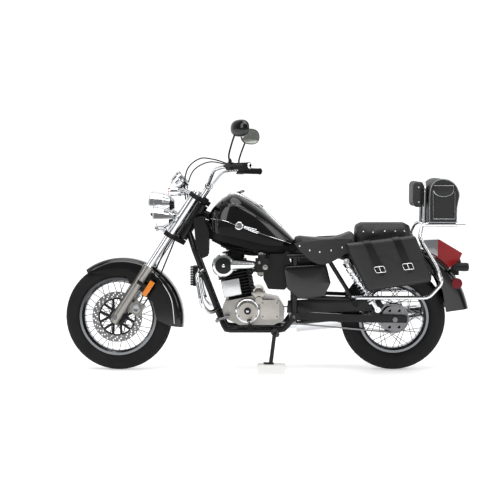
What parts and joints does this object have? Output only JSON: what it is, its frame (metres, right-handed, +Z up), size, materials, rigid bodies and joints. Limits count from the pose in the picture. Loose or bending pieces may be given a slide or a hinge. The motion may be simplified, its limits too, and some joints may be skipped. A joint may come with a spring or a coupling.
{
  "type": "motorcycle, single-cylinder touring cruiser",
  "caption": "Black and chrome touring cruiser motorcycle leaning on its side stand, with wire wheels, saddlebags, rear rack with top bag, studded seats, spot lamps and engine guard.",
  "frame": {"origin": "middle of the outline on the floor", "axes": "+X forward, +Y to the rider's left, +Z up; the machine leans towards +Y on its side stand"},
  "size_m": [2.2464, 0.8604, 1.3665],
  "materials": {
    "black_paint": "gloss",
    "chrome": "polished",
    "alloy": "satin",
    "black_metal": "satin",
    "steel": "machined",
    "tyre": "matte",
    "rubber": "matte",
    "seat_leather": "smooth satin",
    "bag_leather": "glossy",
    "red_lens": "clear gloss",
    "amber_lens": "clear gloss",
    "white_block": "matte"
  },
  "bodies": {
    "frame": {"frame": "black_paint", "neck_cover": "black_paint", "swingarm": "black_paint", "rear_axle": "steel", "crankcase": "alloy", "barrel": "black_metal", "cylinder_head": "black_metal", "head_cover": "chrome", "left_engine_covers": "alloy", "right_engine_cover": "alloy", "air_cleaner": "chrome", "carburettor": "alloy", "exhaust": "chrome", "fuel_tank": "black_paint", "tank_console": "chrome", "rider_seat": "seat_leather", "pillion_pad": "seat_leather", "battery_box": "black_metal", "side_covers": "black_paint", "rear_fender": "black_paint", "tail_lamp": "red_lens", "rear_signals": "black_metal", "rear_reflectors": "red_lens", "saddlebag_left": "bag_leather", "saddlebag_right": "bag_leather", "bag_rail_left": "chrome", "bag_rail_right": "chrome", "rear_rack": "chrome", "backrest_pad": "seat_leather", "top_bag": "bag_leather", "shocks": "chrome", "chain": "steel", "foot_pegs": "rubber", "foot_pedals": "steel", "engine_guard": "chrome", "regulator": "black_metal", "stand_block": "white_block"},
    "steering": {"yokes": "black_metal", "fork_tubes": "chrome", "fork_sliders": "alloy", "front_axle": "steel", "handlebar": "chrome", "grips": "rubber", "bar_controls": "black_metal", "mirrors": "black_metal", "headlamp": "chrome", "spot_lamps": "chrome", "front_signals": "chrome", "gauge": "chrome", "front_fender": "black_paint", "brake_caliper": "black_metal", "brake_hoses": "rubber", "fork_reflectors": "amber_lens"},
    "front_wheel": {"front_tyre": "tyre", "front_wheel": "chrome", "brake_disc": "steel"},
    "rear_wheel": {"rear_tyre": "tyre", "rear_wheel": "chrome", "rear_sprocket": "steel"},
    "side_stand": {"side_stand": "black_paint"}
  },
  "joints": [
    {"name": "steering", "type": "hinge", "parent": "frame", "child": "steering", "pos_m": [0.41342, -0.02531, 0.83118], "axis": [-0.5446, 0.0439, 0.8375], "range_deg": [-29.5, 40.5]},
    {"name": "front_wheel_spin", "type": "hinge", "parent": "steering", "child": "front_wheel", "pos_m": [0.82561, -0.05853, 0.298], "axis": [0.0804, 0.9968, 0], "continuous": true},
    {"name": "rear_wheel_spin", "type": "hinge", "parent": "frame", "child": "rear_wheel", "pos_m": [-0.70818, -0.05358, 0.29187], "axis": [0, 0.9986, -0.0523], "continuous": true},
    {"name": "side_stand_fold", "type": "hinge", "parent": "frame", "child": "side_stand", "pos_m": [-0.04418, 0.06859, 0.21537], "axis": [0.383, 0.8214, 0.4226], "range_deg": [0, 90]}
  ]
}
